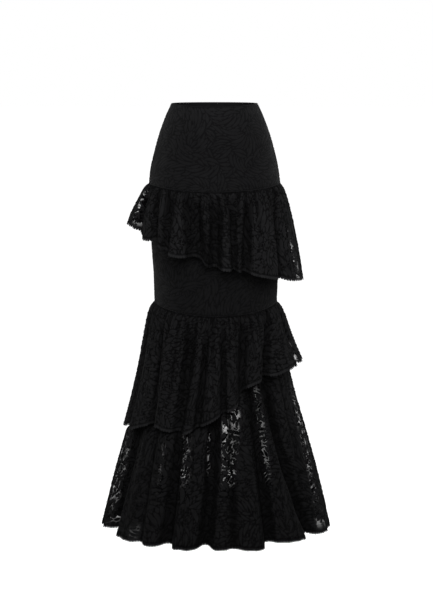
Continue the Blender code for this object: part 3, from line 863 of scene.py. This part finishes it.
    def sprays(self):
        for step, size in ((SPRAY_STEP, 1.0), (SPRAY_STEP * 0.6, 0.6)):
            a, l = self.grid(step)
            for index in range(len(a)):
                if index % 5 == 4:
                    self.lay(make_fan(self.rng, a[index], l[index], self.leaf_width), 0.014)
                else:
                    self.lay(make_spray(self.rng, a[index], l[index], size, self.leaf_width), 0.010)

    def spread_flow(self):
        """Carries the direction of the leaves into the space between them."""
        kept = self.flow[self.taken]
        for _ in range(FLOW_ROUNDS):
            wide = np.pad(self.flow, ((2, 2), (2, 2), (0, 0)), mode="edge")
            self.flow = 0.25 * (wide[:-4, 2:-2] + wide[4:, 2:-2] + wide[2:-2, :-4] + wide[2:-2, 4:])
            self.flow[self.taken] = kept

    def fill(self):
        """Single leaves in what is left, smaller each time, along the flow of the leaves beside them."""
        panel = self.panel
        self.spread_flow()
        for length, width_share, shortest, step in FILL_SIZES:
            a, l = self.grid(step)
            keep = self.rng.random(len(a)) > STRIP_BARE * panel.read(panel.openness, a, l)
            a, l = a[keep], l[keep]
            for start in range(0, len(a), CHUNK):
                some_a, some_l = a[start:start + CHUNK], l[start:start + CHUNK]
                along = panel.read(panel.along, some_a, some_l)
                cells = self.cells(some_a, some_l, along)
                free = ~self.taken[cells]
                some_a, some_l = some_a[free], some_l[free]
                if not len(some_a):
                    continue
                flow = self.flow[cells[0][free], cells[1][free]]
                bend = self.rng.choice((-1.0, 1.0), len(some_a)) * self.rng.uniform(0.3, 0.8, len(some_a))
                heading = 0.5 * np.arctan2(flow[:, 1], flow[:, 0]) - 0.5 * bend
                heading = heading + self.rng.uniform(-0.25, 0.25, len(some_a))
                chord = heading + 0.5 * bend
                full = np.full_like(some_a, length)
                width = np.full_like(full, self.leaf_width * width_share)
                self.lay(np.stack([
                    some_a, some_l, -0.5 * full * np.cos(chord), -0.5 * full * np.sin(chord),
                    heading, full, width, bend,
                ], axis=1), shortest)


def leaf_piece(panel, leaves, material):
    """All the leaves of a panel as raised crowned strips on the net."""
    count = len(LEAF_STATIONS)
    shares = np.array([0.0] + [s for s in LEAF_STATIONS for _ in range(3)] + [1.0])
    along = leaves[:, 8, None] + (leaves[:, 9] - leaves[:, 8])[:, None] * shares[None, :]
    aside = np.zeros_like(along)
    aside[:, 1:-1:3] = -leaves[:, 10:10 + count]
    aside[:, 3:-1:3] = leaves[:, 10 + count:10 + 2 * count]
    heights = np.full(len(shares), LEAF_EDGE_HEIGHT)
    heights[2:-1:3] = LEAF_CROWN_HEIGHT
    x, y = leaf_offsets(leaves, along, aside)
    a, l, _ = panel.shift(leaves[:, 0, None], leaves[:, 1, None], x, y)
    points = panel.point(a, l, np.broadcast_to(heights, a.shape))
    uv = np.stack([along * leaves[:, 5, None], aside], axis=-1)
    # The leaves take the panel's painted shade
    shade = panel.read(panel.shade, a, np.clip(l, 0.0, LEVEL_STEPS))
    last = 1 + 3 * (count - 1)
    pattern = [(0, 2, 1), (0, 3, 2)]
    for base in range(1, last, 3):
        pattern += [(base, base + 1, base + 4, base + 3), (base + 1, base + 2, base + 5, base + 4)]
    pattern += [(last, last + 1, last + 3), (last + 1, last + 2, last + 3)]
    faces = repeat_faces(pattern, len(shares), len(leaves))
    return new_piece(panel.name + "_leaves", points, faces, material, uv.reshape(-1, 2), shade=shade)


def edge_cord(panel, ending, cord, material):
    """A thin cord across a panel, a drop above its lower edge or, where negative, below its upper edge."""
    drop, radius, height = cord
    row = LEVEL_STEPS if drop >= 0.0 else 0
    a = panel.even_columns(row, CORD_STEP)
    steps = len(a) - 1
    row_step = panel.smooth_row_step(a)
    l = row - drop / row_step
    rings = []
    for side in range(CORD_SIDES):
        turn = 2.0 * np.pi * side / CORD_SIDES
        rise = height + radius * np.full_like(a, math.sin(turn))
        rings.append(panel.point(a, l + radius * math.cos(turn) / row_step, rise))
    points = np.stack(rings, axis=1)
    # The cord takes the panel's painted shade at its edge
    shade = np.repeat(panel.read(panel.shade, a, np.full_like(a, row)), CORD_SIDES)
    around = [(side, (side + 1) % CORD_SIDES) for side in range(CORD_SIDES)]
    pattern = [(side, beside, CORD_SIDES + beside, CORD_SIDES + side) for side, beside in around]
    faces = repeat_faces(pattern, CORD_SIDES, steps)
    faces.append(tuple(range(CORD_SIDES))[::-1])
    faces.append(tuple(steps * CORD_SIDES + side for side in range(CORD_SIDES)))
    return new_piece(panel.name + ending, points, faces, material, shade=shade)


def scalloped_edge(panel, material):
    """A row of small rounded scallops below the cord at the lower edge."""
    low, high = panel.along[0, LEVEL_STEPS], panel.along[-1, LEVEL_STEPS]
    count = int((high - low) / SCALLOP_PITCH)
    centres = low + (np.arange(count) + 0.5) * (high - low) / count
    turns = np.linspace(0.0, np.pi, SCALLOP_ARC)
    across = np.concatenate([[-0.5, 0.0, 0.5], -0.47 * np.cos(turns)]) * ((high - low) / count)
    down = np.concatenate([[-SCALLOP_ROOT] * 3, SCALLOP_DEPTH * np.sin(turns) ** 0.8])
    heights = np.concatenate([[0.0004] * 3, [0.0003] * SCALLOP_ARC])
    a = panel.column_at(centres[:, None] + across[None], LEVEL_STEPS)
    l = LEVEL_STEPS + down[None] / panel.smooth_row_step(a)
    points = panel.point(a, l, np.broadcast_to(heights, a.shape))
    # The edging takes the panel's painted shade, made lighter
    shade = EDGING_SHADE * panel.read(panel.shade, a, np.full_like(a, LEVEL_STEPS))
    faces = repeat_faces(SCALLOP_FACES, 3 + SCALLOP_ARC, count)
    return new_piece(panel.name + "_edging", points, faces, material, shade=shade)


def nodes_of(name):
    material = bpy.data.materials.new(name)
    material.use_nodes = True
    tree = material.node_tree
    return material, tree, tree.nodes["Principled BSDF"]


def set_inputs(node, values):
    for socket, value in dict(values).items():
        node.inputs[socket].default_value = value


def add_node(tree, kind, values=(), links=(), **settings):
    """A shader node with settings, socket values by name and links into its sockets."""
    node = tree.nodes.new("ShaderNode" + kind)
    for key, value in settings.items():
        setattr(node, key, value)
    set_inputs(node, values)
    for socket, source in dict(links).items():
        tree.links.new(source, node.inputs[socket])
    return node


def share_of(tree, name):
    return add_node(tree, "Attribute", attribute_name=name).outputs["Fac"]


def map_range(tree, source, limits):
    values = dict(zip(("From Min", "From Max", "To Min", "To Max"), limits))
    return add_node(tree, "MapRange", values, {"Value": source}).outputs["Result"]


def multiply(tree, first, second, clamp=False):
    links = {0: first, 1: second}
    return add_node(tree, "Math", (), links, operation="MULTIPLY", use_clamp=clamp).outputs["Value"]


def scale_colour(tree, colour, share):
    return add_node(tree, "VectorMath", (), {0: colour, 3: share}, operation="SCALE").outputs["Vector"]


def cloth_shader(name, colours, roughness, grain, grain_strength, sheen=0.006):
    """Black cloth with a faint uneven tone and a fine thread relief, laid by the cloth's own lengths."""
    material, tree, shader = nodes_of(name)
    uv = add_node(tree, "UVMap", uv_map="cloth").outputs["UV"]
    place = add_node(tree, "TexCoord").outputs["Object"]
    noise = add_node(tree, "TexNoise", {"Scale": 60.0, "Detail": 5.0, "Roughness": 0.75}, {"Vector": place})
    ramp = add_node(tree, "ValToRGB", (), {"Fac": noise.outputs["Fac"]})
    for stop, position, colour in zip(ramp.color_ramp.elements, (0.30, 0.72), colours):
        stop.position = position
        stop.color = colour + (1.0,)
    # Painted shade: the colour is scaled by the shade attribute of each piece
    tone = scale_colour(tree, ramp.outputs["Color"], share_of(tree, "shade"))
    tree.links.new(tone, shader.inputs["Base Color"])
    threads = add_node(
        tree, "TexWave", {"Scale": grain, "Distortion": 1.2, "Detail": 2.0, "Detail Scale": 1.5},
        {"Vector": uv}, wave_type="BANDS", bands_direction="X",
    )
    relief = {"Strength": grain_strength, "Distance": 0.0003}
    bump = add_node(tree, "Bump", relief, {"Height": threads.outputs["Fac"]})
    tree.links.new(bump.outputs["Normal"], shader.inputs["Normal"])
    set_inputs(shader, {
        "Roughness": roughness, "Specular IOR Level": 0.05, "Sheen Weight": sheen, "Sheen Roughness": 0.45,
    })
    return material, tree, shader, uv


def net_shader(name):
    """The ground of the tiers: dark cells between threads, which let light through where the lace is open,
    and painted shade as dark dots in the holes of the open patches.
    """
    material, tree, shader, uv = cloth_shader(name, NET_COLOURS, 0.85, 900.0, 0.2)
    cells = add_node(
        tree, "TexVoronoi", {"Scale": 1.0 / NET_PITCH, "Randomness": 0.8}, {"Vector": uv},
        feature="DISTANCE_TO_EDGE", voronoi_dimensions="2D",
    ).outputs["Distance"]
    let_through = multiply(tree, map_range(tree, cells, NET_HOLE), share_of(tree, "openness"), True)
    cover = add_node(tree, "Math", {0: 1.0}, {1: let_through}, operation="SUBTRACT")
    tree.links.new(cover.outputs["Value"], shader.inputs["Alpha"])
    patches = share_of(tree, "patches")
    # Painted shade: the holes in the patches of open net are painted as dark dots
    hole_shade_dots = multiply(tree, map_range(tree, cells, NET_DOT), patches)
    threads = map_range(tree, patches, (0.0, 1.0, 1.0, THREAD_GAIN))
    tone = multiply(tree, threads, map_range(tree, hole_shade_dots, (0.0, 1.0, 1.0, PAINTED_HOLE_SHADE)))
    colour = shader.inputs["Base Color"].links[0].from_socket
    tree.links.new(scale_colour(tree, colour, tone), shader.inputs["Base Color"])
    return material


def open_strips(panel):
    """Sets how open the net of a panel is, from its soft-edged uneven strips."""
    angle, level = np.meshgrid(panel.angles, panel.levels, indexing="ij")
    rows = np.broadcast_to(np.arange(LEVEL_STEPS + 1.0), angle.shape)
    x, y = panel.along, panel.drop
    wave = np.sin(210.0 * x + 2.2 * np.sin(90.0 * y)) + np.sin(170.0 * y + 2.0 * np.sin(120.0 * x))
    for top_angle, bottom_angle, top, bottom, half, share in SHEER_STRIPS.get(panel.name, ()):
        f = np.clip((level - top) / (bottom - top), 0.0, 1.0)
        centre = top_angle + (bottom_angle - top_angle) * f
        index = (centre - panel.angles[0]) / (panel.angles[-1] - panel.angles[0]) * ANGLE_STEPS
        away = np.abs(panel.along - panel.read(panel.along, index, rows))
        inside = 1.0 - smooth_step(away, half * STRIP_SOFT_SIDES[0], half * STRIP_SOFT_SIDES[1])
        inside = inside * smooth_step(level - top, *STRIP_SOFT_TOP)
        inside = inside * (1.0 - smooth_step(level - bottom, *STRIP_SOFT_BOTTOM))
        uneven = 0.65 + 0.35 * np.sin(62.0 * level + 5.0 * np.sin(17.0 * level) + top_angle)
        if half > NARROW_STRIP:
            least = 0.1 if half > WIDE_STRIP else 0.5
            uneven = uneven * (least + (1.0 - least) * smooth_step(wave, -1.3, 0.3))
        panel.openness = np.maximum(panel.openness, share * inside * uneven)


def make_lace(panel, seed, leaf_width, edge_margin, ground, leaf_material):
    """The net of a panel and the leaves on it."""
    layout = Layout(panel, np.random.default_rng(seed), leaf_width, edge_margin)
    layout.sprays()
    layout.fill()
    return ground_sheet(panel, ground), leaf_piece(panel, np.array(layout.leaves), leaf_material)


def put_in_place(name, pieces):
    """Hides the solid of the node of that name. The pieces are not used."""
    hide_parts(name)


def lining_surface(angle, level):
    height = waist_edge(angle) + (knee_seam(angle) - LINING_TAIL - waist_edge(angle)) * level
    return form_point(angle, height, -LINING_SINK)


def seen_directly(tree, strength):
    """Full strength for what is looked at directly, and that strength for the light that it gives."""
    path = add_node(tree, "LightPath").outputs["Is Camera Ray"]
    mix = add_node(tree, "Mix", {"A": strength, "B": 1.0}, {"Factor": path}, data_type="FLOAT")
    return mix.outputs["Result"]


def soft_box(name, place, aim, size, power):
    data = bpy.data.lights.new(name, "AREA")
    data.shape = "RECTANGLE"
    data.size, data.size_y = size
    data.energy = power
    box = add_object(name, data)
    box.location = place
    box.rotation_euler = (Vector(aim) - Vector(place)).to_track_quat("-Z", "Y").to_euler()


leaf_cloth = cloth_shader("raised lace leaves", LEAF_COLOURS, 0.80, 420.0, 0.35, 0.06)[0]
tier_leaf_cloth = cloth_shader("raised lace leaves of the tiers", TIER_LEAF_COLOURS, 0.80, 420.0, 0.35)[0]
net_cloth = net_shader("lace net")
ground_cloth = cloth_shader("lace ground", GROUND_COLOURS, 0.85, 900.0, 0.3, 0.06)[0]
trim_cloth = cloth_shader("lace edging", TRIM_COLOURS, 0.70, 500.0, 0.3)[0]
lining_cloth = cloth_shader("lining weave", LINING_COLOURS, 0.60, 1200.0, 0.2)[0]

fitted = {
    "hip": fitted_surface(waist_edge, hip_seam, SHEET_SINK),
    "knee": fitted_surface(lambda angle: hip_seam(angle) - KNEE_TUCK, knee_seam, SHEET_SINK),
}
seed = FIRST_SEED
for section, surface in fitted.items():
    for side, start, end in PANEL_ENDS:
        panel = Panel(section + "_lace_" + side, surface, start, end)
        # Painted light: the hip lace is lighter at its top and darker below, and the knee lace is darker all
        # over, as the light falls from above and the upper ruffle shades the knee
        at_top, below = FITTED_SHADE[section]
        panel.shade *= at_top + (below - at_top) * smooth_step(panel.levels, -0.05, 0.50)
        net, leaves = make_lace(panel, seed, FITTED_LEAF_WIDTH, FITTED_EDGE_MARGIN, ground_cloth, leaf_cloth)
        upper_cord = edge_cord(panel, "_upper_cord", FITTED_UPPER_CORD, leaf_cloth)
        seam_cord = edge_cord(panel, "_seam_cord", FITTED_SEAM_CORD, leaf_cloth)
        put_in_place(panel.name, [leaves, upper_cord, seam_cord])
        seed += 1
for tier in TIERS:
    surface, shade = tier_surface(tier)
    for side, start, end in PANEL_ENDS:
        panel = Panel(tier + "_" + side, surface, start, end)
        # Painted shade of the tier: fold hollows, fold edges, pleats, puckers, and darker further down
        panel.shade = shade(*np.meshgrid(panel.angles, panel.levels, indexing="ij"))
        open_strips(panel)
        panel.patches = patch_share(panel.along, panel.drop, len(panel.name)) * (1.0 - panel.openness)
        net, leaves = make_lace(panel, seed, TIER_LEAF_WIDTH, TIER_EDGE_MARGIN, net_cloth, tier_leaf_cloth)
        cord = edge_cord(panel, "_edge_cord", TIER_EDGE_CORD, trim_cloth)
        put_in_place(panel.name, [leaves, cord, scalloped_edge(panel, trim_cloth)])
        seed += 1

lining = ground_sheet(Panel("lining", lining_surface, -SIDE_SEAM, 360.0 - SIDE_SEAM), lining_cloth)
put_in_place("lining", [])

floor_material, floor_tree, floor_shader = nodes_of("pale floor")
set_inputs(floor_shader, {
    "Base Color": (0.8, 0.8, 0.8, 1.0), "Roughness": 0.9, "Specular IOR Level": 0.0, "Emission Color": WHITE,
})
floor_tree.links.new(seen_directly(floor_tree, FLOOR_LIGHT), floor_shader.inputs["Emission Strength"])
floor_mesh = bpy.data.meshes.new("floor")
corners = [(x * FLOOR_REACH, y * FLOOR_REACH, 0.0) for x, y in ((-1, -1), (1, -1), (1, 1), (-1, 1))]
floor_mesh.from_pydata(corners, [], [(0, 1, 2, 3)])
floor_mesh.materials.append(floor_material)
floor = add_object("floor", floor_mesh)
floor.location.z = FLOOR_HEIGHT

world = bpy.data.worlds.new("white studio")
world.use_nodes = True
background = world.node_tree.nodes["Background"]
set_inputs(background, {"Color": WHITE})
world.node_tree.links.new(seen_directly(world.node_tree, WORLD_LIGHT), background.inputs["Strength"])
bpy.context.scene.world = world
bpy.context.scene.view_settings.view_transform = "Standard"
for box in SOFT_BOXES:
    soft_box(*box)

camera_data = bpy.data.cameras.new("camera")
camera_data.lens = CAMERA_LENS
camera_data.sensor_width = CAMERA_SENSOR
camera = add_object("camera", camera_data)
camera.location = CAMERA_PLACE
camera.rotation_euler = (math.radians(90.0 - CAMERA_DIP), 0.0, 0.0)
bpy.context.scene.camera = camera
